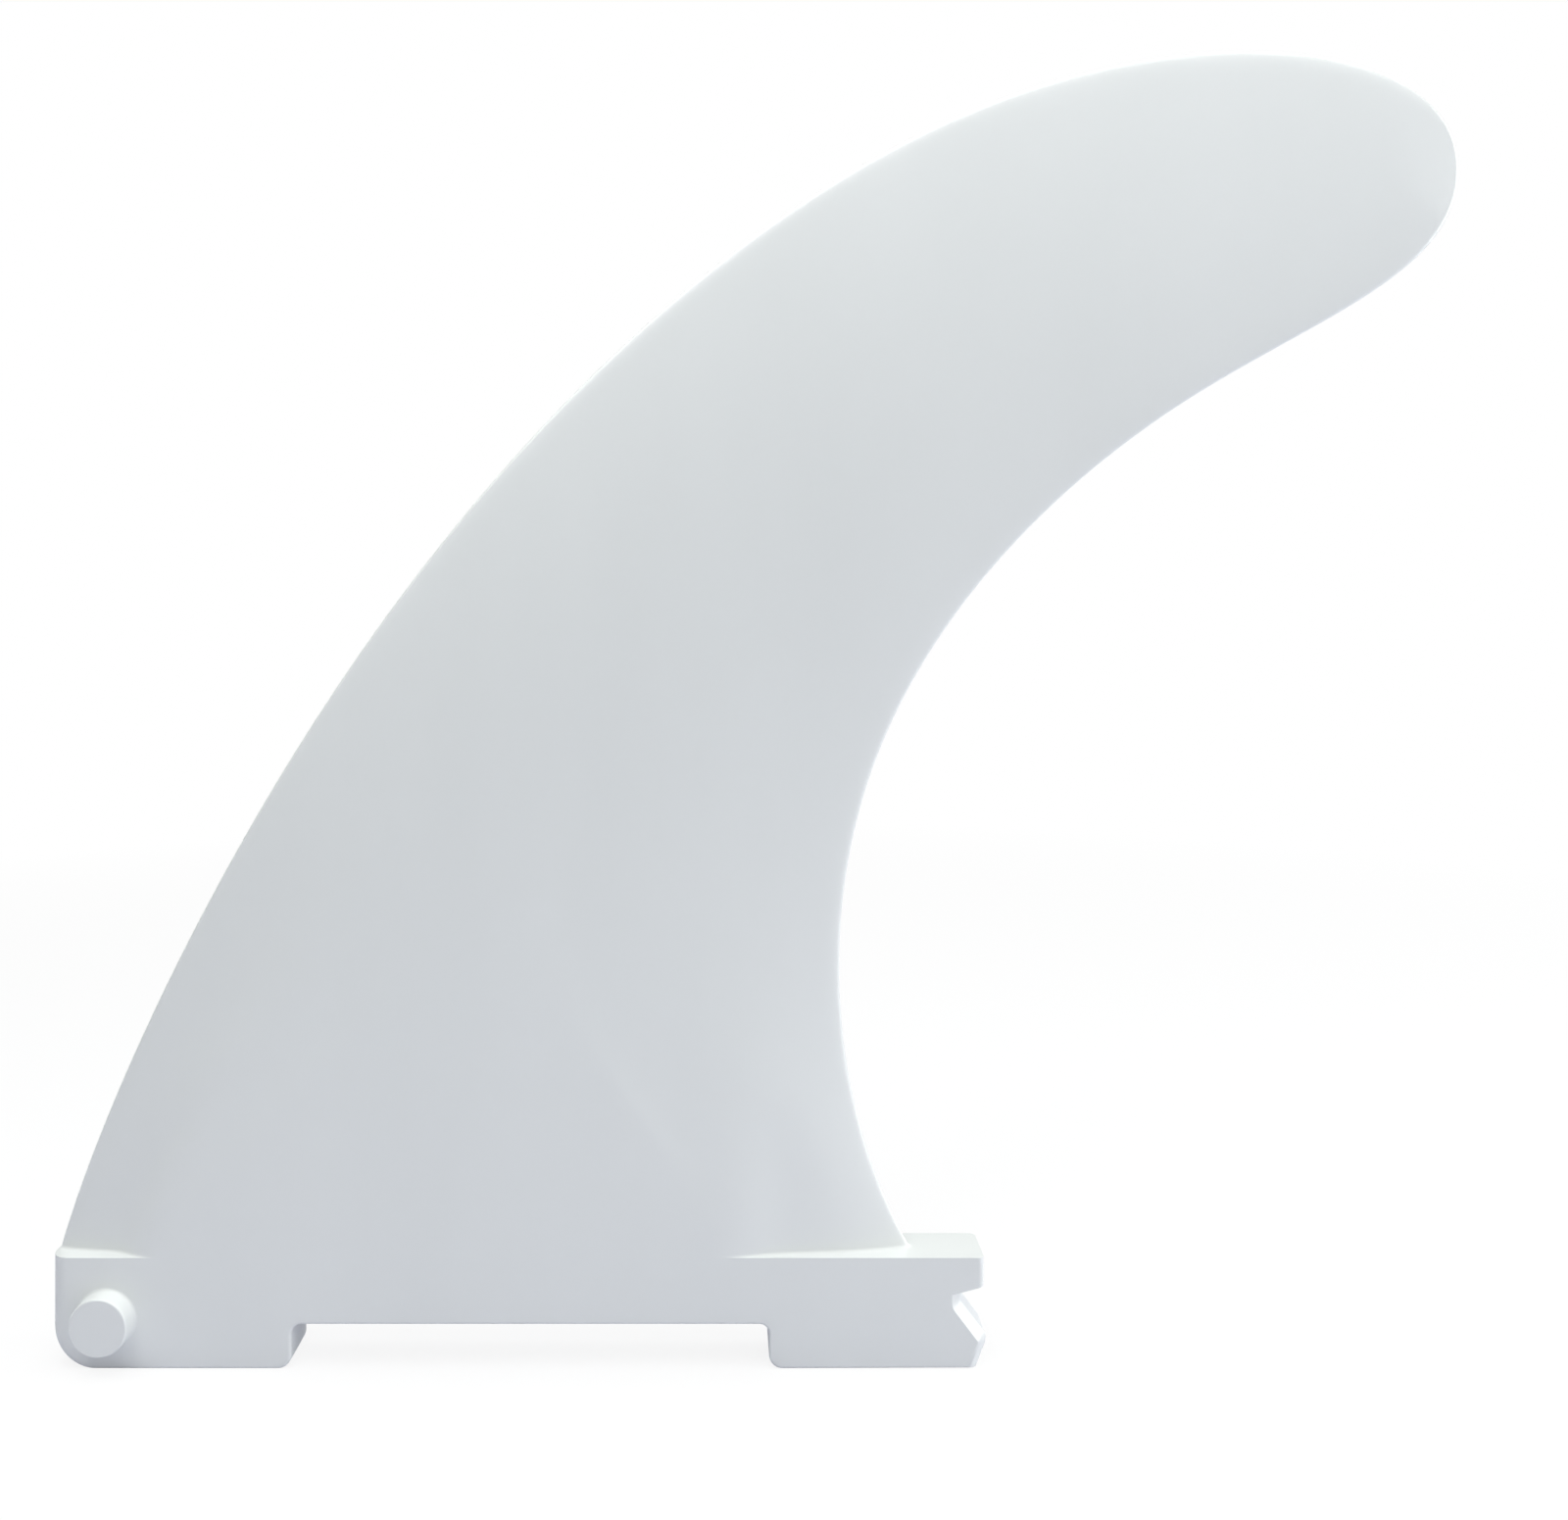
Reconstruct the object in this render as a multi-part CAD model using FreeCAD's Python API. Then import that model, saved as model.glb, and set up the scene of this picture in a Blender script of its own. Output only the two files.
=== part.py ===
import FreeCAD, Part
import math
import os

# A centre fin for a surfboard, moulded in one piece: a raked, foiled blade that stands on a slim base.
# The base slides into the slot of a fin box. A cross pin at its front end runs in the box's side grooves,
# two feet with a recess between them stand on the slot's floor, and a snap notch closes its rear end.
#
# Frame, in millimetres: the origin is on the pin's axis, in the middle of the fin's thickness.
# +X runs towards the board's tail, +Y to the side along the pin, and +Z up the blade.

Vector = FreeCAD.Vector

# Base block
BASE_LENGTH = 156.5
BASE_HEIGHT = 18.6
BASE_THICKNESS = 9.4
FRONT_END_ROUND = 3.0
REAR_END_ROUND = 1.0
BASE_EDGE_ROUND = 0.5
FRONT_CORNER_RADIUS = 7.4

# Recess under the base, between the two feet
FRONT_FOOT_LENGTH = 40.5
RECESS_LENGTH = 80.0
RECESS_DEPTH = 7.4
RECESS_ROOF_RADIUS = 1.7
FOOT_CORNER_RADIUS = 2.2

# Cross pin
PIN_DIAMETER = 9.7
PIN_OVERALL_LENGTH = 16.0
PIN_SETBACK = 9.5
PIN_HEIGHT = 8.35
PIN_END_ROUND = 0.3
PIN_ROOT_FILLET = 0.5

# Snap notch in the rear end: a hook above, a gap, and a tooth with a round nose below. The tooth's corner
# reaches a little further back than the hook, and is rounded to its nose.
HOOK_TIP_DROP = 4.8
HOOK_ROOT_DROP = 5.8
NOTCH_DEPTH = 3.8
NOTCH_GAP = 2.0
NOTCH_CORNER_RADIUS = 0.6
NOTCH_CHAMFER = 1.6
TOOTH_CORNER_REACH = 0.8
TOOTH_NOSE_HEIGHT = 4.75
TOOTH_NOSE_RADIUS = 2.0
TOOTH_TOE_SETBACK = 1.3

# Blade
BLADE_DEPTH = 203.4
TIP_REACH = 238.2
LEADING_SETBACK = 0.1
ROOT_CHORD = 144.4
ROOT_FILLET = 0.5
ROOT_STEP = 0.05
TIP_THICKNESS = 2.8
LEADING_EDGE_THICKNESS = 2.4
TRAILING_EDGE_THICKNESS = 1.8

# At the root each edge is a thin wedge, and a ramp behind it widens the section to the base's flat sides.
# Up the blade the section turns into a curved foil whose tapers take these shares of the chord, over this
# share of the blade's length.
LEADING_WEDGE_LENGTH = 9.5
LEADING_WEDGE_THICKNESS = 4.6
LEADING_RAMP_LENGTH = 6.5
TRAILING_WEDGE_LENGTH = 19.5
TRAILING_WEDGE_THICKNESS = 6.2
TRAILING_RAMP_LENGTH = 11.0
LEADING_TAPER_SHARE = 0.42
TRAILING_TAPER_SHARE = 0.52
FOIL_BLEND_SHARE = 0.3
TIP_TAPER_LENGTH = 16.0
SKIN_SETTLE_LENGTH = 3.0

# Shape of the blade's two edges: control points of smooth curves, from the root to the tip. Each point is
# a share of the way back from that edge's own root to the tip, and a share of the blade's depth.
LEADING_SHAPE = [(0.0, 0.0), (0.0277, 0.1135), (0.197, 0.5557), (0.669, 1.0595), (1.0, 1.003), (1.0, 0.902)]
TRAILING_SHAPE = [(0.0, 0.0), (-0.137, 0.1115), (-0.1985, 0.419), (0.486, 0.743), (1.0, 0.815), (1.0, 0.902)]

# Places along both curves where the blade's skin gets further rows of control points: they are close
# together at the root, for its fillet, and at the tip, for its rounded edge
SKIN_ROWS = [0.004, 0.008, 0.05, 0.14, 0.24, 0.44, 0.56, 0.78, 0.88, 0.94, 0.97, 0.985]

# An edge's nose is an ellipse this many times as deep as half its thickness, and its skin leaves the
# mid-plane with the control point at this share of that half thickness
NOSE_REACH = 0.9
NOSE_FULLNESS = 0.6

# Places that follow from the sizes
front = -PIN_SETBACK
rear = front + BASE_LENGTH
underside = -PIN_HEIGHT
ledge = underside + BASE_HEIGHT
notch_wall = rear - NOTCH_DEPTH
half_base = BASE_THICKNESS / 2
leading_root = front + LEADING_SETBACK
trailing_root = leading_root + ROOT_CHORD


def rounded_wire(corners):
    """A closed wire in the XZ plane through corners of (x, z, radius), each rounded by its own arc."""
    points = [Vector(x, 0, z) for x, z, radius in corners]
    starts, middles, ends = [], [], []
    for i, (x, z, radius) in enumerate(corners):
        back = (points[i - 1] - points[i]).normalize()
        ahead = (points[(i + 1) % len(points)] - points[i]).normalize()
        half_angle = back.getAngle(ahead) / 2
        inward = (back + ahead).normalize()
        starts.append(points[i] + back * (radius / math.tan(half_angle)))
        middles.append(points[i] + inward * (radius / math.sin(half_angle) - radius))
        ends.append(points[i] + ahead * (radius / math.tan(half_angle)))
    edges = []
    for i, (x, z, radius) in enumerate(corners):
        if radius > 0:
            edges.append(Part.Arc(starts[i], middles[i], ends[i]).toShape())
        edges.append(Part.LineSegment(ends[i], starts[(i + 1) % len(points)]).toShape())
    return Part.Wire(edges)


def side_edges(solid):
    """The edges of a solid that lie wholly in one of the base's two side planes."""
    flat = [edge for edge in solid.Edges if edge.BoundBox.YLength < 0.01]
    return [edge for edge in flat if abs(abs(edge.BoundBox.YMin) - half_base) < 0.01]


def base_outline():
    """The base seen from the side, from its front lower corner round under the feet to the ledge."""
    front_foot_end = front + FRONT_FOOT_LENGTH
    rear_foot_start = front_foot_end + RECESS_LENGTH
    roof = underside + RECESS_DEPTH
    hook_root = ledge - HOOK_ROOT_DROP
    return rounded_wire([
        (front, underside, FRONT_CORNER_RADIUS),
        (front_foot_end, underside, FOOT_CORNER_RADIUS),
        (front_foot_end, roof, RECESS_ROOF_RADIUS),
        (rear_foot_start, roof, RECESS_ROOF_RADIUS),
        (rear_foot_start, underside, FOOT_CORNER_RADIUS),
        (rear - TOOTH_TOE_SETBACK, underside, 0),
        (rear + TOOTH_CORNER_REACH, underside + TOOTH_NOSE_HEIGHT, TOOTH_NOSE_RADIUS),
        (notch_wall, hook_root - NOTCH_GAP, NOTCH_CORNER_RADIUS),
        (notch_wall, hook_root, 0),
        (rear, ledge - HOOK_TIP_DROP, 0),
        (rear, ledge, 0),
        (front, ledge, 0),
    ])


def rounded_plan():
    """A plain block round the base, with the two upright edges of its front end rounded."""
    length = BASE_LENGTH + TOOTH_CORNER_REACH
    block = Part.makeBox(length, BASE_THICKNESS, BASE_HEIGHT, Vector(front, -half_base, underside))
    upright = [edge for edge in block.Edges if edge.BoundBox.XMax < front + 0.01 and edge.BoundBox.YLength < 0.01]
    return block.makeFillet(FRONT_END_ROUND, upright)


def base_block():
    """The base, with the tooth's edges chamfered, and its lower edges and its upright end edges rounded."""
    block = Part.Face(base_outline()).extrude(Vector(0, BASE_THICKNESS, 0))
    block.translate(Vector(0, -half_base, 0))

    behind_toe = rear - TOOTH_TOE_SETBACK
    under_hook = ledge - HOOK_TIP_DROP
    hook_root = ledge - HOOK_ROOT_DROP
    tooth = [
        edge for edge in side_edges(block)
        if edge.BoundBox.XMin > notch_wall - 0.01 and edge.BoundBox.ZMax < hook_root + 0.01
    ]
    block = block.makeChamfer(NOTCH_CHAMFER, tooth)
    hook_end = [
        edge for edge in side_edges(block)
        if edge.BoundBox.XMin > rear - 0.01 and edge.BoundBox.ZMin > under_hook - 0.01
    ]
    block = block.makeFillet(REAR_END_ROUND, hook_end)

    lower = [
        edge for edge in side_edges(block)
        if edge.BoundBox.XMax < behind_toe + 0.01 and edge.BoundBox.ZMax < underside + RECESS_DEPTH + 0.01
    ]
    block = block.makeFillet(BASE_EDGE_ROUND, lower)
    return block.common(rounded_plan())


def cross_pin():
    """The pin, a plain cylinder through the base with rounded ends."""
    start = Vector(0, -PIN_OVERALL_LENGTH / 2, 0)
    pin = Part.makeCylinder(PIN_DIAMETER / 2, PIN_OVERALL_LENGTH, start, Vector(0, 1, 0))
    rims = [edge for edge in pin.Edges if edge.Closed]
    return pin.makeFillet(PIN_END_ROUND, rims)


def edge_curve(root_x, shape):
    """One edge of the blade as a smooth curve, from its root on the ledge to the tip."""
    reach = front + TIP_REACH - root_x
    poles = [Vector(root_x + share_x * reach, 0, ledge + share_z * BLADE_DEPTH) for share_x, share_z in shape]
    spans = len(poles) - 3
    curve = Part.BSplineCurve()
    knots = [i / spans for i in range(spans + 1)]
    curve.buildFromPolesMultsKnots(poles, [4] + [1] * (spans - 1) + [4], knots, False, 3)
    for place in SKIN_ROWS:
        curve.insertKnot(place, 1, 1e-9)
    return curve


def smooth_step(share):
    """0 up to 0, 1 from 1 on, and a smooth rise between."""
    share = min(1.0, max(0.0, share))
    return share * share * (3 - 2 * share)


def edge_section(edge, wedge, shoulder, ramp, taper, full, curved):
    """Control points of the section from one edge inwards, as (distance, half thickness).

    They go from the nose, of half thickness edge, to the full half thickness. Where curved is 0 they rise over
    the wedge to its shoulder and then over the ramp, and where it is 1 they rise in one arc over the taper.
    """
    nose = min(NOSE_REACH * edge, taper / 2)
    middle = wedge * (1 - curved) + taper / 2 * curved
    end = (wedge + ramp) * (1 - curved) + taper * curved
    points = [(0.0, 0.0), (0.0, NOSE_FULLNESS * edge)]
    for distance in [nose, (nose + middle) / 2] + [middle + i / 3 * (end - middle) for i in range(4)]:
        up_wedge = 1 - min(1.0, (distance - nose) / (wedge - nose))
        up_taper = 1 - min(1.0, (distance - nose) / (taper - nose))
        ramped = edge + (shoulder - edge) * (1 - up_wedge ** 2)
        ramped += (full - shoulder) * smooth_step((distance - wedge) / ramp)
        foiled = edge + (full - edge) * (1 - up_taper ** 2)
        points.append((distance, ramped * (1 - curved) + foiled * curved))
    return points


def skin_row(lead, trail, along, tip):
    """Control points of the skin from the leading to the trailing edge, as (point, half thickness)."""
    chord = trail - lead
    length = chord.Length
    back = chord.normalize()
    half_tip = TIP_THICKNESS / 2
    full = half_tip + (half_base - ROOT_STEP - half_tip) * (1 + math.cos(math.pi * along)) / 2
    curved = smooth_step(along / FOIL_BLEND_SHARE)
    leading = edge_section(
        LEADING_EDGE_THICKNESS / 2, LEADING_WEDGE_LENGTH, LEADING_WEDGE_THICKNESS / 2, LEADING_RAMP_LENGTH,
        LEADING_TAPER_SHARE * length, full, curved,
    )
    # The trailing ramp stands upright above its place at the root
    upright_wedge = max(TRAILING_EDGE_THICKNESS, TRAILING_WEDGE_LENGTH + trail.x - trailing_root)
    trailing = edge_section(
        TRAILING_EDGE_THICKNESS / 2, upright_wedge, TRAILING_WEDGE_THICKNESS / 2, TRAILING_RAMP_LENGTH,
        TRAILING_TAPER_SHARE * length, full, curved,
    )
    flat_start = leading[-1][0]
    flat = length - flat_start - trailing[-1][0]
    settle = min(SKIN_SETTLE_LENGTH, flat / 6)
    flat_places = [settle, 2 * settle, flat / 2, flat - 2 * settle, flat - settle]
    section = leading + [(flat_start + place, full) for place in flat_places]
    section += [(length - distance, half) for distance, half in reversed(trailing)]

    # The tip closes in an arc, and at the root a fillet widens the section, but not past the base's sides
    to_tip = 1 - min(1.0, (tip.x - lead.x) / TIP_TAPER_LENGTH)
    blunt_tip = NOSE_FULLNESS * TRAILING_EDGE_THICKNESS / 2
    closing = blunt_tip + (full - blunt_tip) * (1 - to_tip ** 2)
    height = min(ROOT_FILLET, max(0.0, max(lead.z, trail.z) - ledge))
    flare = ROOT_FILLET - math.sqrt(height * (2 * ROOT_FILLET - height))
    row = []
    for k, (place, half) in enumerate(section):
        if 0 < k < len(section) - 1:
            half = min(half_base - ROOT_STEP, min(half, closing) + flare)
        outward = flare if k >= len(section) - 3 else 0.0
        row.append((lead + back * (place + outward), half))
    return row


def blade():
    """The blade: two mirrored skins that meet at its edges and tip, closed by a flat root on the ledge."""
    leading = edge_curve(leading_root, LEADING_SHAPE)
    trailing = edge_curve(trailing_root, TRAILING_SHAPE)
    tip = leading.getPoles()[-1]
    knots = leading.KnotSequence
    rows = []
    for j, (lead, trail) in enumerate(zip(leading.getPoles()[:-1], trailing.getPoles()[:-1])):
        rows.append(skin_row(lead, trail, sum(knots[j + 1:j + 4]) / 3, tip))
    rows.append([(tip, 0.0)] * len(rows[0]))

    spans = len(rows[0]) - 3
    faces = []
    for side in (1, -1):
        poles = [[point + Vector(0, side * half, 0) for point, half in row] for row in rows]
        skin = Part.BSplineSurface()
        skin.buildFromPolesMultsKnots(
            poles,
            leading.getMultiplicities(), [4] + [1] * (spans - 1) + [4],
            leading.getKnots(), [float(i) for i in range(spans + 1)],
            False, False, 3, 3,
        )
        faces.append(skin.toShape())
    root = [edge for face in faces for edge in face.Edges if edge.BoundBox.ZMax < ledge + 0.01]
    faces.append(Part.Face(Part.Wire(root)))
    shell = Part.makeShell(faces)
    shell.sewShape()
    return Part.makeSolid(shell)


def fin():
    """The whole moulding: base, pin and blade in one solid, with a small fillet where the pin leaves it."""
    whole = base_block().fuse([cross_pin(), blade()]).removeSplitter()
    pin_roots = [
        edge for edge in side_edges(whole)
        if edge.Closed and abs(edge.BoundBox.XLength - PIN_DIAMETER) < 0.01
    ]
    return whole.makeFillet(PIN_ROOT_FILLET, pin_roots)


whole = fin()
print("fin: valid", whole.isValid(), "solids", len(whole.Solids), "volume", round(whole.Volume, 1))
os.makedirs("parts", exist_ok=True)
whole.exportStep("parts/fin.step")
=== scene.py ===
import math

import bmesh
import bpy
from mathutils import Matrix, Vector


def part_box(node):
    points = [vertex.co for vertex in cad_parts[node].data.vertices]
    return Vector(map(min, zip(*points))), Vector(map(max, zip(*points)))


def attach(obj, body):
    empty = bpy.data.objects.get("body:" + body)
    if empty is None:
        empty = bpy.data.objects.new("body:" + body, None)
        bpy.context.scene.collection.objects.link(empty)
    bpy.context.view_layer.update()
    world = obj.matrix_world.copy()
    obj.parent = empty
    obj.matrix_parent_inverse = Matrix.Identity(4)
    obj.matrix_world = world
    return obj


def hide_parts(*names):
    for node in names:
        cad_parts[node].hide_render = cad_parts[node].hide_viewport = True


# The look of a white moulded surfboard fin: one fine mesh of the whole moulding, its plastic, the pale
# floor, the lamps and the camera. Sizes are in millimetres in the part's frame, unless a name says metres.
MM = 0.001

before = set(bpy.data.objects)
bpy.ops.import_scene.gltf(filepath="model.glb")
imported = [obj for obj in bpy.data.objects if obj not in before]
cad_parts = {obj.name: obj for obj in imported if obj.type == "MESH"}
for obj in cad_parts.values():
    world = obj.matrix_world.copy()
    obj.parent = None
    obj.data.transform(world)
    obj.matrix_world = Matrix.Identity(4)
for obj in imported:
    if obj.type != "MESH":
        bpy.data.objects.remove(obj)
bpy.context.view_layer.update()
box_low, box_high = (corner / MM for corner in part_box("fin"))

# Base block
BASE_LENGTH = 156.5
BASE_HEIGHT = 18.6
HALF_BASE = 4.7
FRONT_END_ROUND = 3.0
REAR_END_ROUND = 1.0
EDGE_ROUND = 0.5
FRONT_CORNER_RADIUS = 7.4
FRONT_FOOT_LENGTH = 40.5
RECESS_LENGTH = 80.0
RECESS_DEPTH = 7.4
RECESS_ROOF_RADIUS = 1.7
FOOT_CORNER_RADIUS = 2.2

# Cross pin
PIN_RADIUS = 4.85
PIN_END_ROUND = 0.3
PIN_ROOT_FILLET = 0.5

# Snap notch in the rear end
HOOK_TIP_DROP = 4.8
HOOK_ROOT_DROP = 5.8
NOTCH_DEPTH = 3.8
NOTCH_GAP = 2.0
NOTCH_CORNER_RADIUS = 0.6
NOTCH_CHAMFER = 1.6
TOOTH_CORNER_REACH = 0.8
TOOTH_NOSE_HEIGHT = 4.75
TOOTH_NOSE_RADIUS = 2.0
TOOTH_TOE_SETBACK = 1.3

# Blade
BLADE_DEPTH = 203.4
LEADING_SETBACK = 0.1
ROOT_CHORD = 144.4
ROOT_FILLET = 0.5
HALF_TIP = 1.4
HALF_LEADING_EDGE = 1.2
HALF_TRAILING_EDGE = 0.9
LEADING_WEDGE_LENGTH = 9.5
LEADING_WEDGE_HALF = 2.3
LEADING_RAMP_LENGTH = 6.5
TRAILING_WEDGE_LENGTH = 19.5
TRAILING_WEDGE_HALF = 3.1
TRAILING_RAMP_LENGTH = 11.0
LEADING_TAPER_SHARE = 0.42
TRAILING_TAPER_SHARE = 0.52
FOIL_BLEND_SHARE = 0.3
TIP_TAPER_LENGTH = 16.0
SKIN_SETTLE_LENGTH = 3.0
NOSE_REACH = 0.9
NOSE_FULLNESS = 0.6

# Shape of the blade's two edges, as shares of the way back to the tip and of the blade's depth
LEADING_SHAPE = [(0.0, 0.0), (0.0277, 0.1135), (0.197, 0.5557), (0.669, 1.0595), (1.0, 1.003), (1.0, 0.902)]
TRAILING_SHAPE = [(0.0, 0.0), (-0.137, 0.1115), (-0.1985, 0.419), (0.486, 0.743), (1.0, 0.815), (1.0, 0.902)]

# How finely the mesh follows the shape. Where two edges of an outline turn by less than SMOOTH_TURN, given as
# a sine, they are taken as one curve. Points within FLUSH_MARGIN, in metres, of the base's side are flush.
FILLET_STEPS = 8
ROUND_STEPS = 5
ARC_STEP = math.radians(5)
PIN_SIDES = 96
BLADE_ROWS = 260
SPAN_COLUMNS = 6
NOSE_COLUMNS = 9
SHARP_ANGLE = math.radians(35)
SMOOTH_TURN = 0.3
FLUSH_MARGIN = 1e-7

# Plastic: two tints and two roughnesses, then its streaks and its grain as repeats in a metre with the detail
# of each, and the grain's height in metres
PLASTIC_DARK = (0.75, 0.77, 0.755, 1.0)
PLASTIC_LIGHT = (0.79, 0.81, 0.795, 1.0)
ROUGHNESS_LOW = 0.28
ROUGHNESS_HIGH = 0.42
STREAK_SCALE = (45.0, 45.0, 9.0)
STREAK_DETAIL = 3.0
GRAIN_SCALE = 900.0
GRAIN_DETAIL = 2.0
GRAIN_STRENGTH = 0.15
GRAIN_HEIGHT = 0.00005

# Floor, in metres. To the camera it is lit grey mixed with plain white: mostly white near the fin, and all
# white where the lamps fade. To the fin it is the colour of its bounce.
FLOOR_REACH = 3.0
FLOOR_GREY = (0.9, 0.9, 0.9, 1.0)
FLOOR_BOUNCE = (0.64, 0.64, 0.73, 1.0)
NEAR_WHITE_SHARE = 0.86
NEAR_DISTANCE = 0.2
WHITE_DISTANCE = 0.6

# World and lamps: each lamp has its azimuth and elevation in degrees, its distance from the fin's middle in
# metres and its power in watts
WORLD_LIGHT = 0.02
MIDDLE = (0.1, 0.0, 0.1)
LAMP_TINT = (0.98, 1.0, 1.0)
LAMP_SIZE = 0.5
LAMPS = [
    ("front", 30, 45, 0.5, 0.9),
    ("front_low", 330, 15, 0.8, 0.55),
    ("above", 300, 70, 0.5, 3.0),
    ("tail", 90, 15, 0.8, 3.6),
    ("side_low", 80, 8, 0.8, 1.8),
    ("back", 150, 45, 0.8, 1.4),
    ("back_above", 240, 70, 0.8, 0.6),
]

# Camera: its place in metres, its film and lens in millimetres, and the shift of its picture as shares of
# the film's width
CAMERA_PLACE = (0.1020, -0.2400, 0.1190)
FILM_WIDTH = 36.0
LENS = 32.31
PICTURE_SHIFT = (0.04375, -0.0972)
NEAR_CLIP = 0.01

# Places that follow from the sizes
front = box_low.x
rear = front + BASE_LENGTH
underside = box_low.z
ledge = underside + BASE_HEIGHT
half_pin = box_high.y
tip_x = box_high.x
leading_root = front + LEADING_SETBACK
trailing_root = leading_root + ROOT_CHORD


def spline_point(points, at):
    """The point at 0 to 1 along a smooth cubic curve with these control points."""
    spans = len(points) - 3
    knots = [0] * 3 + list(range(spans + 1)) + [spans] * 3
    place = at * spans
    first = min(int(place), spans - 1)
    weights = [1.0]
    for degree in (1, 2, 3):
        carried = 0.0
        for i in range(degree):
            low, high = knots[first + 4 + i - degree], knots[first + 4 + i]
            share = weights[i] / (high - low)
            weights[i] = carried + (high - place) * share
            carried = (place - low) * share
        weights.append(carried)
    return sum((point * weight for point, weight in zip(points[first:], weights)), Vector((0.0, 0.0)))


def smooth_step(share):
    """0 up to 0, 1 from 1 on, and a smooth rise between."""
    share = min(1.0, max(0.0, share))
    return share * share * (3 - 2 * share)


def edge_points(root_x, shape):
    """Control points of one edge of the blade, from its root on the ledge to the tip."""
    reach = tip_x - root_x
    return [Vector((root_x + back * reach, ledge + up * BLADE_DEPTH)) for back, up in shape]


def edge_section(edge, wedge, shoulder, ramp, taper, full, curved):
    """Control points of the section from one edge inwards, as (distance, half thickness).

    They go from the nose, of half thickness edge, to the full half thickness. Where curved is 0 they rise
    over the wedge to its shoulder and then over the ramp, and where it is 1 in one arc over the taper.
    """
    nose = min(NOSE_REACH * edge, taper / 2)
    middle = wedge * (1 - curved) + taper / 2 * curved
    end = (wedge + ramp) * (1 - curved) + taper * curved
    points = [(0.0, 0.0), (0.0, NOSE_FULLNESS * edge)]
    for distance in [nose, (nose + middle) / 2] + [middle + i / 3 * (end - middle) for i in range(4)]:
        up_wedge = 1 - min(1.0, (distance - nose) / (wedge - nose))
        up_taper = 1 - min(1.0, (distance - nose) / (taper - nose))
        ramped = edge + (shoulder - edge) * (1 - up_wedge ** 2)
        ramped += (full - shoulder) * smooth_step((distance - wedge) / ramp)
        foiled = edge + (full - edge) * (1 - up_taper ** 2)
        points.append((distance, ramped * (1 - curved) + foiled * curved))
    return points


def blade_section(along, lead, trail):
    """Control points of the section between two points of the edges, as (distance, half thickness)."""
    length = (trail - lead).length
    full = HALF_TIP + (HALF_BASE - HALF_TIP) * (1 + math.cos(math.pi * along)) / 2
    curved = smooth_step(along / FOIL_BLEND_SHARE)
    leading = edge_section(
        HALF_LEADING_EDGE, LEADING_WEDGE_LENGTH, LEADING_WEDGE_HALF, LEADING_RAMP_LENGTH,
        LEADING_TAPER_SHARE * length, full, curved,
    )
    # The trailing ramp stands upright above its place at the root
    upright_wedge = max(2 * HALF_TRAILING_EDGE, TRAILING_WEDGE_LENGTH + trail.x - trailing_root)
    trailing = edge_section(
        HALF_TRAILING_EDGE, upright_wedge, TRAILING_WEDGE_HALF, TRAILING_RAMP_LENGTH,
        TRAILING_TAPER_SHARE * length, full, curved,
    )
    flat_start = leading[-1][0]
    flat = length - flat_start - trailing[-1][0]
    settle = min(SKIN_SETTLE_LENGTH, flat / 6)
    flat_places = [settle, 2 * settle, flat / 2, flat - 2 * settle, flat - settle]
    section = leading + [(flat_start + place, full) for place in flat_places]
    section += [(length - distance, half) for distance, half in reversed(trailing)]

    # The section closes in an arc towards the tip, and at the root a fillet widens it
    to_tip = 1 - min(1.0, (tip_x - lead.x) / TIP_TAPER_LENGTH)
    blunt_tip = NOSE_FULLNESS * HALF_TRAILING_EDGE
    closing = blunt_tip + (full - blunt_tip) * (1 - to_tip ** 2)
    height = min(ROOT_FILLET, max(0.0, max(lead.y, trail.y) - ledge))
    flare = ROOT_FILLET - math.sqrt(height * (2 * ROOT_FILLET - height))
    points = []
    for k, (place, half) in enumerate(section):
        if 0 < k < len(section) - 1:
            half = min(HALF_BASE, min(half, closing) + flare)
        outward = flare if k >= len(section) - 3 else 0.0
        points.append(Vector((place + outward, half)))
    return points


def tip_round(share, tip_gap):
    """The part of the thickness that the tip's round edge leaves at this share of a row.

    The tip lies tip_gap beyond the row's middle, and the outline bows out from the row's two ends to it.
    """
    gap = 4 * share * (1 - share) * tip_gap
    nearness = 1 - smooth_step(tip_gap / TIP_TAPER_LENGTH)
    to_edge = nearness * max(0.0, 1 - gap / (NOSE_REACH * HALF_TRAILING_EDGE))
    return math.sqrt(1 - to_edge ** 2)


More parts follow.
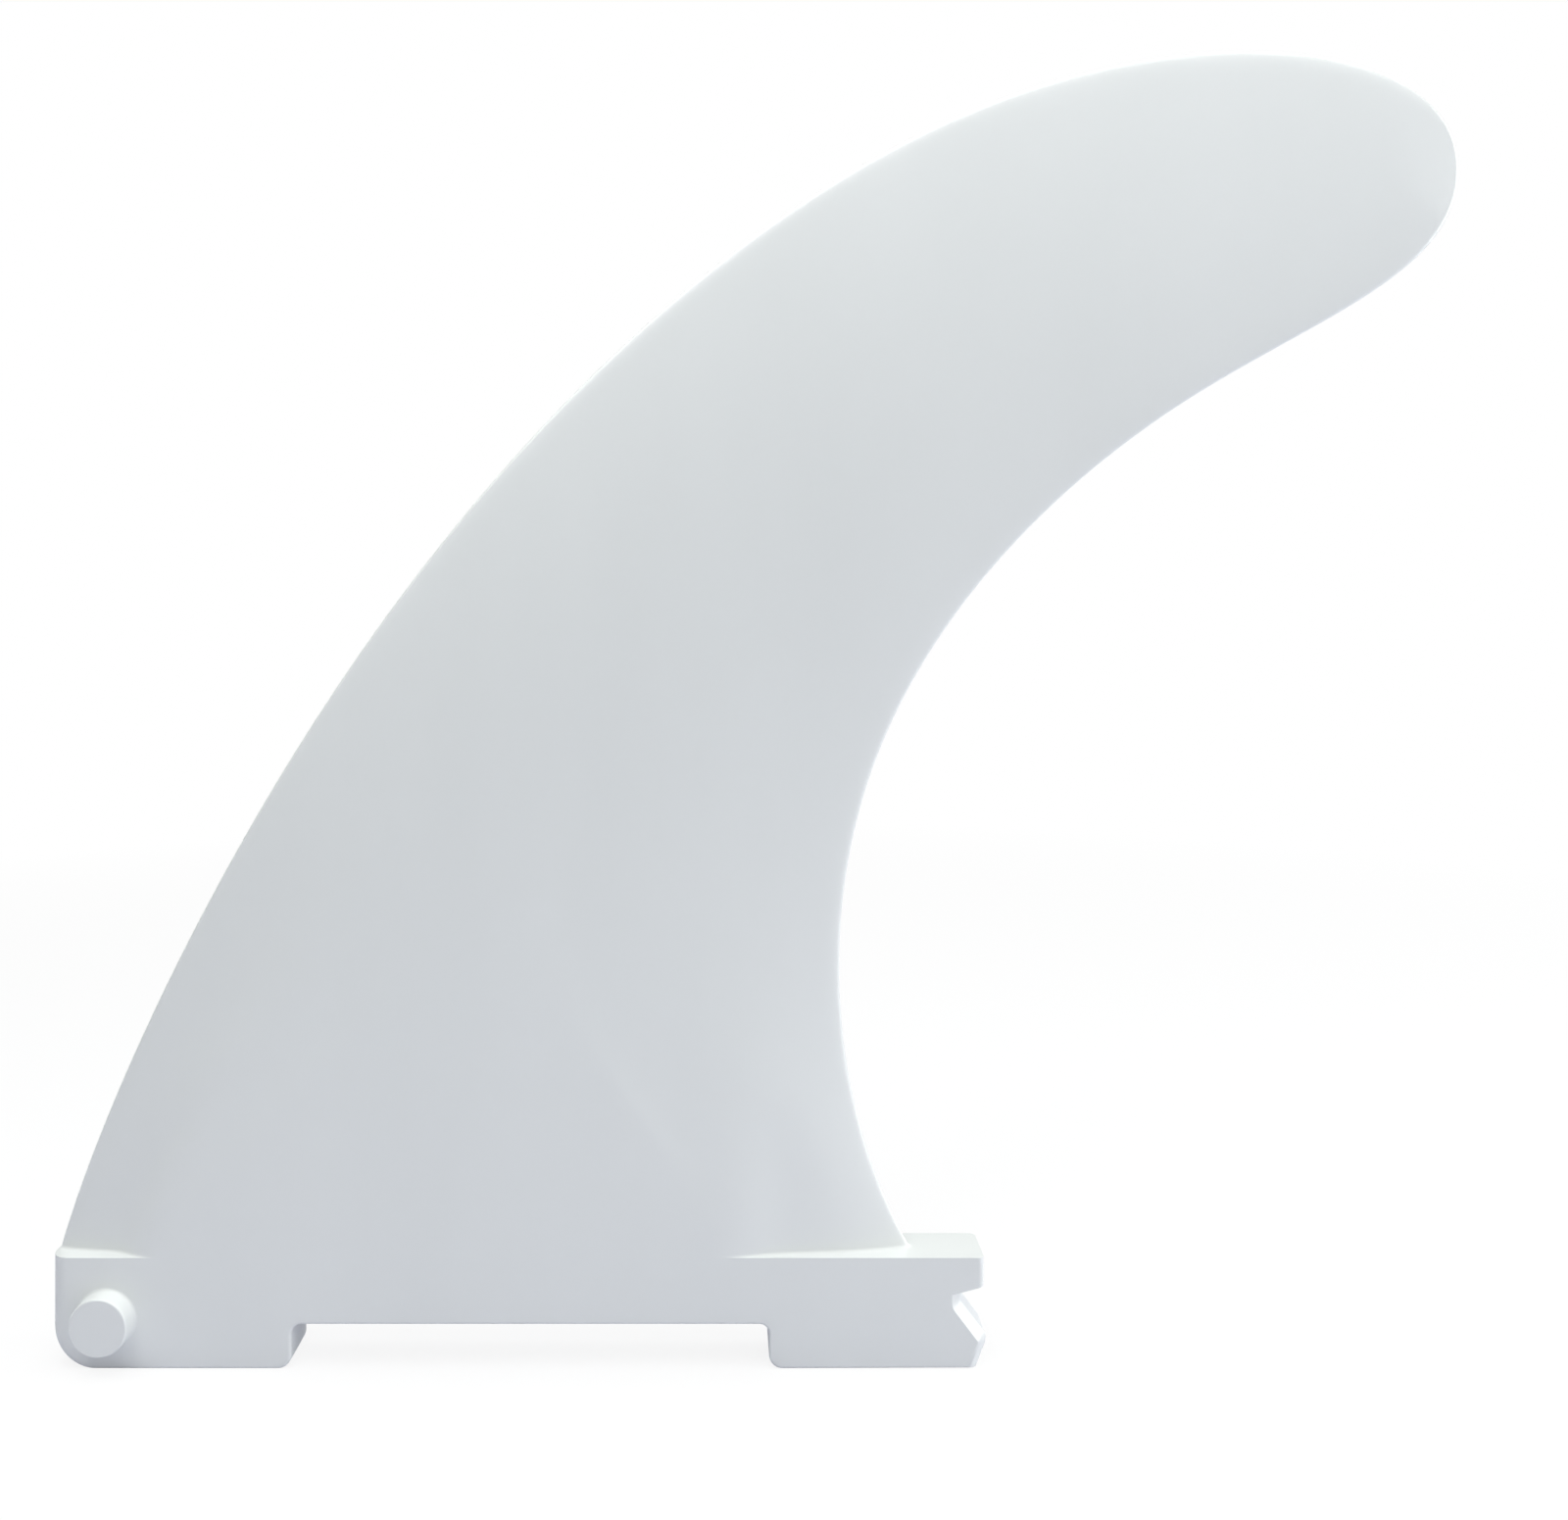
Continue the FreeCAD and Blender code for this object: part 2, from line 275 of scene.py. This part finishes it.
def blade_grid():
    """Points of the blade's skin on one side, as rows of (x, half thickness, z) from the root to the tip."""
    leading = edge_points(leading_root, LEADING_SHAPE)
    trailing = edge_points(trailing_root, TRAILING_SHAPE)

    # The first rows climb the root's fillet, by how fast an edge rises at its start
    start_speed = 3 * (len(LEADING_SHAPE) - 3)
    root_rise = start_speed * min(leading[1].y - ledge, trailing[1].y - ledge)
    turns = [math.pi / 2 * step / FILLET_STEPS for step in range(FILLET_STEPS)]
    rows = [ROOT_FILLET * (1 - math.cos(turn)) / root_rise for turn in turns]
    start = ROOT_FILLET / root_rise
    rows += [start + (1 - start) * row / BLADE_ROWS for row in range(BLADE_ROWS)]

    spans = len(blade_section(0.0, leading[0], trailing[0])) - 3
    columns = []
    for span in range(spans):
        count = NOSE_COLUMNS if span in (0, 1, spans - 2, spans - 1) else SPAN_COLUMNS
        columns += [(span + i / count) / spans for i in range(count)]
    columns.append(1.0)

    grid = []
    for along in rows:
        lead, trail = spline_point(leading, along), spline_point(trailing, along)
        back = (trail - lead).normalized()
        tip_gap = tip_x - (lead.x + trail.x) / 2
        section = blade_section(along, lead, trail)
        row = []
        for column in columns:
            place, half = spline_point(section, column)
            spot = lead + back * place
            row.append((spot.x, half * tip_round(place / (trail - lead).length, tip_gap), spot.y))
        grid.append(row)
    return grid, leading[-1]


def base_chain():
    """The base's outline from the ledge's front corner round under the feet to its rear corner.

    It comes as points, and the width of the rounding along the edge after each point.
    """
    foot_end = front + FRONT_FOOT_LENGTH
    rear_foot = foot_end + RECESS_LENGTH
    roof = underside + RECESS_DEPTH
    wall = rear - NOTCH_DEPTH
    hook_root = ledge - HOOK_ROOT_DROP
    corners = [
        (front, ledge, 0, FRONT_END_ROUND),
        (front, underside, FRONT_CORNER_RADIUS, EDGE_ROUND),
        (foot_end, underside, FOOT_CORNER_RADIUS, EDGE_ROUND),
        (foot_end, roof, RECESS_ROOF_RADIUS, EDGE_ROUND),
        (rear_foot, roof, RECESS_ROOF_RADIUS, EDGE_ROUND),
        (rear_foot, underside, FOOT_CORNER_RADIUS, EDGE_ROUND),
        (rear - TOOTH_TOE_SETBACK, underside, 0, NOTCH_CHAMFER),
        (rear + TOOTH_CORNER_REACH, underside + TOOTH_NOSE_HEIGHT, TOOTH_NOSE_RADIUS, NOTCH_CHAMFER),
        (wall, hook_root - NOTCH_GAP, NOTCH_CORNER_RADIUS, NOTCH_CHAMFER),
        (wall, hook_root, 0, 0),
        (rear, ledge - HOOK_TIP_DROP, 0, REAR_END_ROUND),
        (rear, ledge, 0, 0),
    ]
    points, widths = [], []
    for i, (x, z, radius, width) in enumerate(corners):
        corner = Vector((x, z))
        if radius == 0:
            points.append(corner)
            widths.append(width)
            continue
        back = (Vector(corners[i - 1][:2]) - corner).normalized()
        ahead = (Vector(corners[i + 1][:2]) - corner).normalized()
        half_angle = back.angle(ahead) / 2
        centre = corner + (back + ahead).normalized() * (radius / math.sin(half_angle))
        start = corner + back * (radius / math.tan(half_angle)) - centre
        turn = (math.pi - 2 * half_angle) * (1 if back.cross(ahead) < 0 else -1)
        steps = max(2, round(abs(turn) / ARC_STEP))
        width_before = corners[i - 1][3]
        for step in range(steps + 1):
            angle = turn * step / steps
            swung = Vector((
                start.x * math.cos(angle) - start.y * math.sin(angle),
                start.x * math.sin(angle) + start.y * math.cos(angle),
            ))
            points.append(centre + swung)
            widths.append(width_before + (width - width_before) * min(1.0, (step + 0.5) / steps))
        widths[-1] = width
    return points, widths


def inset(width, step):
    """How far one ring of an edge of this width lies in from the outline and from the base's side."""
    if width == NOTCH_CHAMFER:
        share = step / ROUND_STEPS
        return width * (1 - share), width * share
    turn = math.pi / 2 * step / ROUND_STEPS
    return width * (1 - math.sin(turn)), width * (1 - math.cos(turn))


def base_rings():
    """Rings of points round the base from its near side to its far one, with rounded edges."""
    points, widths = base_chain()
    inward = []
    for point, after in zip(points, points[1:]):
        ahead = (after - point).normalized()
        inward.append(Vector((-ahead.y, ahead.x)))
    down = Vector((0.0, -1.0))
    before_all = [down] + inward
    after_all = inward + [down]
    widths_before = [0.0] + widths[:-1]
    widths_after = widths[:-1] + [0.0]

    rings = []
    for step in range(ROUND_STEPS + 1):
        ring = []
        for k, point in enumerate(points):
            before, after = before_all[k], after_all[k]
            in_before = inset(widths_before[k], step)[0]
            in_after = inset(widths_after[k], step)[0]
            corner = before.cross(after)
            if abs(corner) < SMOOTH_TURN:
                moved = point + (before + after).normalized() * (in_before + in_after) / 2
            else:
                moved = point + Vector((
                    (in_before * after.y - in_after * before.y) / corner,
                    (in_after * before.x - in_before * after.x) / corner,
                ))
            ends = (widths_before[k], widths_after[k])
            width = max(ends) if min(ends) == 0 else sum(ends) / 2
            ring.append((moved.x, HALF_BASE - inset(width, step)[1], moved.y))
        rings.append(ring)
    near = [[(x, -y, z) for x, y, z in ring] for ring in rings]
    return near + rings[::-1]


def pin_rings():
    """Rings of points round the pin's near half, from its fillet on the base's side to its flat end."""
    profile = []
    for step in range(ROUND_STEPS + 1):
        turn = math.pi / 2 * step / ROUND_STEPS
        profile.append((
            PIN_RADIUS + PIN_ROOT_FILLET * (1 - math.sin(turn)),
            HALF_BASE + PIN_ROOT_FILLET * (1 - math.cos(turn)),
        ))
    for step in range(ROUND_STEPS + 1):
        turn = math.pi / 2 * step / ROUND_STEPS
        profile.append((
            PIN_RADIUS - PIN_END_ROUND * (1 - math.cos(turn)),
            half_pin - PIN_END_ROUND * (1 - math.sin(turn)),
        ))
    rings = []
    for radius, reach in profile:
        angles = [2 * math.pi * side / PIN_SIDES for side in range(PIN_SIDES)]
        rings.append([(radius * math.cos(angle), reach, radius * math.sin(angle)) for angle in angles])
    return rings


def new_ring(mesh, ring, side=1):
    """New vertices of a bmesh at the ring's points or, where side is -1, at their mirror images."""
    return [mesh.verts.new((x * MM, side * y * MM, z * MM)) for x, y, z in ring]


def join_rings(mesh, first, second, closed=False):
    """Faces between two rows of vertices, three-cornered where the rows share a vertex."""
    count = len(first)
    for i in range(count if closed else count - 1):
        j = (i + 1) % count
        corners = [first[i], first[j], second[j], second[i]]
        corners = [vert for k, vert in enumerate(corners) if vert is not corners[k - 1]]
        mesh.faces.new(corners)


def fill_side(mesh, outline, hole):
    """The base's flat side between its outline and the pin's root."""
    edges = []
    for loop in (outline, hole):
        for i, vert in enumerate(loop):
            pair = (loop[i - 1], vert)
            edges.append(mesh.edges.get(pair) or mesh.edges.new(pair))
    bmesh.ops.triangle_fill(mesh, edges=edges, use_beauty=True)


def add_blade(mesh):
    """The blade's two skins, and their rows of vertices on the ledge, near side first."""
    grid, tip = blade_grid()
    pole = mesh.verts.new((tip.x * MM, 0.0, tip.y * MM))
    near_root = far_root = None
    near_before = far_before = None
    for row in grid:
        near = new_ring(mesh, row, -1)
        far = [near[0]] + new_ring(mesh, row[1:-1]) + [near[-1]]
        if near_before:
            join_rings(mesh, near_before, near)
            join_rings(mesh, far_before, far)
        else:
            near_root, far_root = near, far
        near_before, far_before = near, far
    join_rings(mesh, near_before, [pole] * len(near_before))
    join_rings(mesh, far_before, [pole] * len(far_before))
    return near_root, far_root


def add_pin(mesh, side):
    """One half of the pin, and its ring of vertices on the base's side."""
    rings = [new_ring(mesh, ring, side) for ring in pin_rings()]
    for first, second in zip(rings, rings[1:]):
        join_rings(mesh, first, second, closed=True)
    mesh.faces.new(rings[-1])
    return rings[0]


def fin_mesh():
    """The whole moulding as one closed mesh."""
    mesh = bmesh.new()
    near_root, far_root = add_blade(mesh)
    rings = [new_ring(mesh, ring) for ring in base_rings()]
    for first, second in zip(rings, rings[1:]):
        join_rings(mesh, first, second)

    # Between these two columns the blade is flush with the base's sides, and elsewhere the ledge shows
    flush = [k for k, vert in enumerate(near_root) if abs(-vert.co.y - HALF_BASE * MM) < FLUSH_MARGIN]
    start, end = flush[0], flush[-1]
    for root, ring, side in ((near_root, rings[0], -1), (far_root, rings[-1], 1)):
        fill_side(mesh, ring + root[start:end + 1][::-1], add_pin(mesh, side))
    front_corners = [ring[0] for ring in rings]
    rear_corners = [ring[-1] for ring in rings]
    mesh.faces.new(near_root[:start + 1][::-1] + far_root[1:start + 1] + front_corners[::-1])
    mesh.faces.new(near_root[end:] + far_root[end:-1][::-1] + rear_corners[::-1])

    bmesh.ops.recalc_face_normals(mesh, faces=mesh.faces)
    data = bpy.data.meshes.new("fin_moulding")
    mesh.to_mesh(data)
    mesh.free()
    return data


def white_plastic():
    """Satin white moulded plastic: faint upright flow streaks in its tint and gloss, and a fine grain."""
    material = bpy.data.materials.new("satin_white_plastic")
    material.use_nodes = True
    nodes, links = material.node_tree.nodes, material.node_tree.links
    shader = nodes["Principled BSDF"]
    place = nodes.new("ShaderNodeTexCoord")

    stretch = nodes.new("ShaderNodeMapping")
    stretch.inputs["Scale"].default_value = STREAK_SCALE
    streaks = nodes.new("ShaderNodeTexNoise")
    streaks.inputs["Scale"].default_value = 1.0
    streaks.inputs["Detail"].default_value = STREAK_DETAIL
    links.new(place.outputs["Object"], stretch.inputs["Vector"])
    links.new(stretch.outputs["Vector"], streaks.inputs["Vector"])

    tint = nodes.new("ShaderNodeMix")
    tint.data_type = "RGBA"
    tint.inputs["A"].default_value = PLASTIC_DARK
    tint.inputs["B"].default_value = PLASTIC_LIGHT
    links.new(streaks.outputs["Fac"], tint.inputs["Factor"])
    links.new(tint.outputs["Result"], shader.inputs["Base Color"])

    gloss = nodes.new("ShaderNodeMapRange")
    gloss.inputs["To Min"].default_value = ROUGHNESS_LOW
    gloss.inputs["To Max"].default_value = ROUGHNESS_HIGH
    links.new(streaks.outputs["Fac"], gloss.inputs["Value"])
    links.new(gloss.outputs["Result"], shader.inputs["Roughness"])

    grain = nodes.new("ShaderNodeTexNoise")
    grain.inputs["Scale"].default_value = GRAIN_SCALE
    grain.inputs["Detail"].default_value = GRAIN_DETAIL
    bump = nodes.new("ShaderNodeBump")
    bump.inputs["Strength"].default_value = GRAIN_STRENGTH
    bump.inputs["Distance"].default_value = GRAIN_HEIGHT
    links.new(place.outputs["Object"], grain.inputs["Vector"])
    links.new(grain.outputs["Fac"], bump.inputs["Height"])
    links.new(bump.outputs["Normal"], shader.inputs["Normal"])
    return material


def add_fin():
    """The fin's piece, which stands for its node in the frame."""
    data = fin_mesh()
    data.materials.append(white_plastic())
    data.shade_smooth()
    data.set_sharp_from_angle(angle=SHARP_ANGLE)
    fin = bpy.data.objects.new("fin_moulding", data)
    bpy.context.scene.collection.objects.link(fin)
    weighted = fin.modifiers.new("weighted", "WEIGHTED_NORMAL")
    weighted.keep_sharp = True
    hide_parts("fin")
    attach(fin, "root")


def add_world():
    """A world that is white to the camera and gives the fin only a little light."""
    world = bpy.data.worlds.new("studio")
    world.use_nodes = True
    bpy.context.scene.world = world
    nodes, links = world.node_tree.nodes, world.node_tree.links
    path = nodes.new("ShaderNodeLightPath")
    level = nodes.new("ShaderNodeMapRange")
    level.inputs["To Min"].default_value = WORLD_LIGHT
    level.inputs["To Max"].default_value = 1.0
    links.new(path.outputs["Is Camera Ray"], level.inputs["Value"])
    links.new(level.outputs["Result"], nodes["Background"].inputs["Strength"])
    nodes["Background"].inputs["Color"].default_value = (1.0, 1.0, 1.0, 1.0)


def floor_white():
    """A floor that bounces a little light and, to the camera, is white with the fin's faint shadow."""
    material = bpy.data.materials.new("floor_white")
    material.use_nodes = True
    nodes, links = material.node_tree.nodes, material.node_tree.links
    nodes.remove(nodes["Principled BSDF"])
    bounce = nodes.new("ShaderNodeBsdfDiffuse")
    bounce.inputs["Color"].default_value = FLOOR_BOUNCE
    lit = nodes.new("ShaderNodeBsdfDiffuse")
    lit.inputs["Color"].default_value = FLOOR_GREY
    glow = nodes.new("ShaderNodeEmission")

    # The share of plain white grows with the distance from the fin
    place = nodes.new("ShaderNodeTexCoord")
    distance = nodes.new("ShaderNodeVectorMath")
    distance.operation = "DISTANCE"
    distance.inputs[1].default_value = (MIDDLE[0], MIDDLE[1], 0.0)
    white_share = nodes.new("ShaderNodeMapRange")
    white_share.inputs["From Min"].default_value = NEAR_DISTANCE
    white_share.inputs["From Max"].default_value = WHITE_DISTANCE
    white_share.inputs["To Min"].default_value = NEAR_WHITE_SHARE
    white_share.inputs["To Max"].default_value = 1.0
    links.new(place.outputs["Object"], distance.inputs[0])
    links.new(distance.outputs["Value"], white_share.inputs["Value"])

    seen = nodes.new("ShaderNodeMixShader")
    links.new(white_share.outputs["Result"], seen.inputs["Fac"])
    links.new(lit.outputs["BSDF"], seen.inputs[1])
    links.new(glow.outputs["Emission"], seen.inputs[2])
    path = nodes.new("ShaderNodeLightPath")
    either = nodes.new("ShaderNodeMixShader")
    links.new(path.outputs["Is Camera Ray"], either.inputs["Fac"])
    links.new(bounce.outputs["BSDF"], either.inputs[1])
    links.new(seen.outputs["Shader"], either.inputs[2])
    links.new(either.outputs["Shader"], nodes["Material Output"].inputs["Surface"])
    return material


def add_floor():
    """The floor under the feet."""
    data = bpy.data.meshes.new("floor")
    level = underside * MM
    signs = [(-1, -1), (1, -1), (1, 1), (-1, 1)]
    data.from_pydata([(x * FLOOR_REACH, y * FLOOR_REACH, level) for x, y in signs], [], [(0, 1, 2, 3)])
    data.materials.append(floor_white())
    floor = bpy.data.objects.new("floor", data)
    bpy.context.scene.collection.objects.link(floor)


def add_lamp(name, azimuth, elevation, distance, power):
    """A square area lamp aimed at the fin: azimuth 0 is in front of its near side, 90 behind its tail."""
    turn, rise = math.radians(azimuth), math.radians(elevation)
    away = Vector((math.sin(turn) * math.cos(rise), -math.cos(turn) * math.cos(rise), math.sin(rise)))
    data = bpy.data.lights.new(name, "AREA")
    data.shape = "SQUARE"
    data.size = LAMP_SIZE
    data.energy = power
    data.color = LAMP_TINT
    lamp = bpy.data.objects.new(name, data)
    lamp.location = Vector(MIDDLE) + away * distance
    lamp.rotation_mode = "QUATERNION"
    lamp.rotation_quaternion = away.to_track_quat("Z", "Y")
    bpy.context.scene.collection.objects.link(lamp)


def add_camera():
    """The photograph's camera: level, square to the fin's side and close to it, with a shifted picture."""
    data = bpy.data.cameras.new("camera")
    data.sensor_width = FILM_WIDTH
    data.lens = LENS
    data.shift_x, data.shift_y = PICTURE_SHIFT
    data.clip_start = NEAR_CLIP
    camera = bpy.data.objects.new("camera", data)
    camera.location = CAMERA_PLACE
    camera.rotation_euler = (math.pi / 2, 0.0, 0.0)
    bpy.context.scene.collection.objects.link(camera)
    bpy.context.scene.camera = camera


add_fin()
add_world()
add_floor()
for lamp in LAMPS:
    add_lamp(*lamp)
add_camera()
bpy.context.scene.view_settings.view_transform = "Standard"
